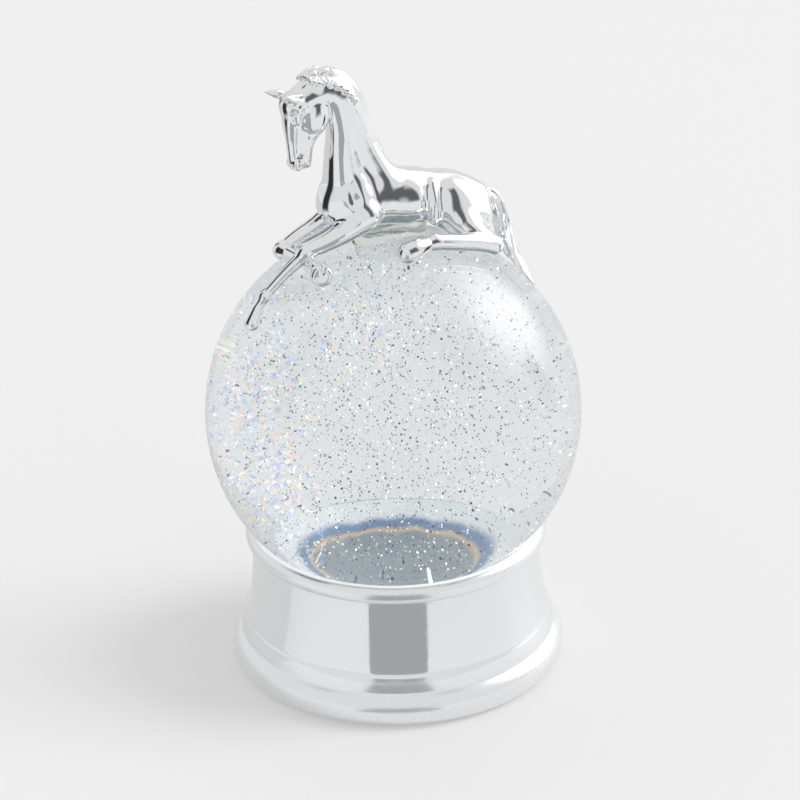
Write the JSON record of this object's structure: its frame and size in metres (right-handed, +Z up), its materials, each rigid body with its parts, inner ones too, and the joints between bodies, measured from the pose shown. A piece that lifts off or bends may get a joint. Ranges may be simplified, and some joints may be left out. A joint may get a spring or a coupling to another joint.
{
  "type": "snow globe",
  "caption": "Glass globe of glitter liquid with a plated horse lying on top, bedded in a round flared plated base with a bead collar.",
  "frame": {"origin": "centre of the face that the object stands on, under the globe's axis", "axes": "+Z up along the globe's axis, -Y towards the front, +X to the right seen from the front; the horse's head points to -X"},
  "size_m": [0.12, 0.12, 0.2058],
  "materials": {
    "plated_base": "bright silver plating over cast resin",
    "plated_horse": "bright silver plating over cast resin",
    "cover_plastic": "moulded, matt",
    "screw_steel": "zinc plated",
    "felt": "pressed felt",
    "clear_silicone": "clear cured silicone",
    "clear_bond": "clear cured adhesive",
    "globe_glass": "clear blown glass",
    "clear_liquid": "clear water and glycerine",
    "stopper_rubber": "moulded rubber",
    "white_sealant": "cured sealant",
    "silver_flake": "metallised film",
    "iridescent_flake": "iridescent film",
    "settled_flake": "metallised and iridescent film"
  },
  "bodies": {
    "globe": {"base_shell": "plated_base", "base_cover": "cover_plastic", "cover_screw_1": "screw_steel", "cover_screw_2": "screw_steel", "cover_screw_3": "screw_steel", "cover_screw_4": "screw_steel", "felt_pad": "felt", "globe_bond_ring": "clear_silicone", "glass_globe": "globe_glass", "stopper": "stopper_rubber", "stopper_seal": "white_sealant", "figurine_bond": "clear_bond", "horse_figurine": "plated_horse"},
    "contents": {"liquid": "clear_liquid", "silver_glitter": "silver_flake", "iridescent_glitter": "iridescent_flake", "settled_glitter": "settled_flake"}
  },
  "joints": [
    {"name": "liquid_swirl", "type": "hinge", "parent": "globe", "child": "contents", "pos_m": [0, 0, 0.087], "axis": [0, 0, 1], "continuous": true}
  ]
}
